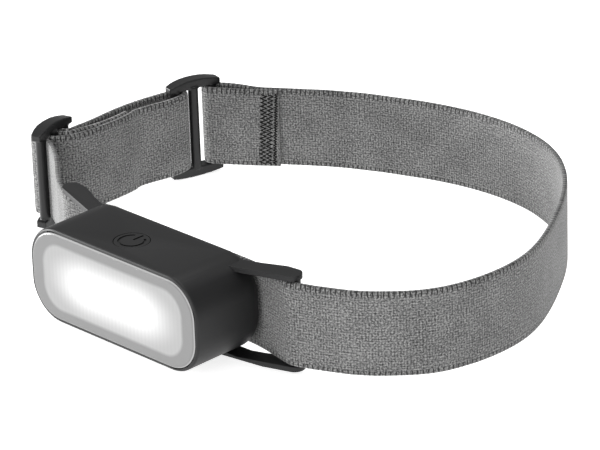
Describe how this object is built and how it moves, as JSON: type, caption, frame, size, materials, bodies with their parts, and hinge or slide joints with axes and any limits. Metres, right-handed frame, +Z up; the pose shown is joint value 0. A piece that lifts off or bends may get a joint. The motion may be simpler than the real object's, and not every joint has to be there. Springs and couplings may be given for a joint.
{
  "type": "headlamp",
  "caption": "Rechargeable floodlight headlamp: flat diffused lamp with moulded lugs on an elastic head strap with two three-bar sliders.",
  "frame": {"origin": "centre of the lens's front face, where the light comes out", "axes": "-Y is the way the light shines and +Y runs back to the wearer's head; +X is along the lamp; +Z is up as worn"},
  "size_m": [0.1721, 0.1474, 0.0321],
  "materials": {
    "housing_plastic": "black moulded ABS with a fine spark-eroded texture",
    "button_plastic": "black moulded ABS, engraved mark",
    "lens_diffuser": "milky diffusing polycarbonate",
    "silicone": "black silicone rubber",
    "tray_plastic": "white reflector plastic",
    "board_aluminium": "white-masked aluminium board",
    "phosphor_gel": "yellow phosphor gel",
    "screw_steel": "plated steel",
    "circuit_board": "green solder mask",
    "chip_plastic": "black moulding compound",
    "switch_plastic": "moulded switch plunger",
    "cell_foil": "silver pouch foil",
    "foam": "closed-cell foam",
    "lead_insulation": "silicone wire insulation",
    "strap_elastic": "heathered grey woven elastic",
    "seam_thread": "black polyester thread",
    "slider_plastic": "black moulded acetal, satin"
  },
  "bodies": {
    "root": {"housing": "housing_plastic", "lens": "lens_diffuser", "lens_seal": "silicone", "light_tray": "tray_plastic", "cob_board": "board_aluminium", "phosphor_strip": "phosphor_gel", "tray_screws": "screw_steel", "circuit_board": "circuit_board", "board_chips": "chip_plastic", "charge_socket": "screw_steel", "socket_tongue": "chip_plastic", "switch_body": "chip_plastic", "button_seal": "silicone", "battery_cell": "cell_foil", "battery_pads": "foam", "battery_leads": "lead_insulation", "led_leads": "lead_insulation", "strap_lamp_run": "strap_elastic", "strap_right": "strap_elastic", "strap_back": "strap_elastic", "strap_end_loop": "strap_elastic", "strap_left_run": "strap_elastic", "strap_outer_layer": "strap_elastic", "strap_inner_layer": "strap_elastic", "loop_stitching": "seam_thread", "end_stitching": "seam_thread", "adjuster_slider": "slider_plastic", "joining_slider": "slider_plastic"},
    "button": {"power_button": "button_plastic", "button_clip": "button_plastic", "switch_plunger": "switch_plastic"},
    "flap": {"port_flap": "silicone"}
  },
  "joints": [
    {"name": "button_press", "type": "slide", "parent": "root", "child": "button", "axis": [0, 0, -1], "range_m": [0, 0.0006], "stiffness_N_per_m": 1500, "springref_m": -0.0005},
    {"name": "flap_hinge", "type": "hinge", "parent": "root", "child": "flap", "pos_m": [0, 0.0137, -0.0143], "axis": [1, 0, 0], "range_deg": [0, 100]}
  ]
}
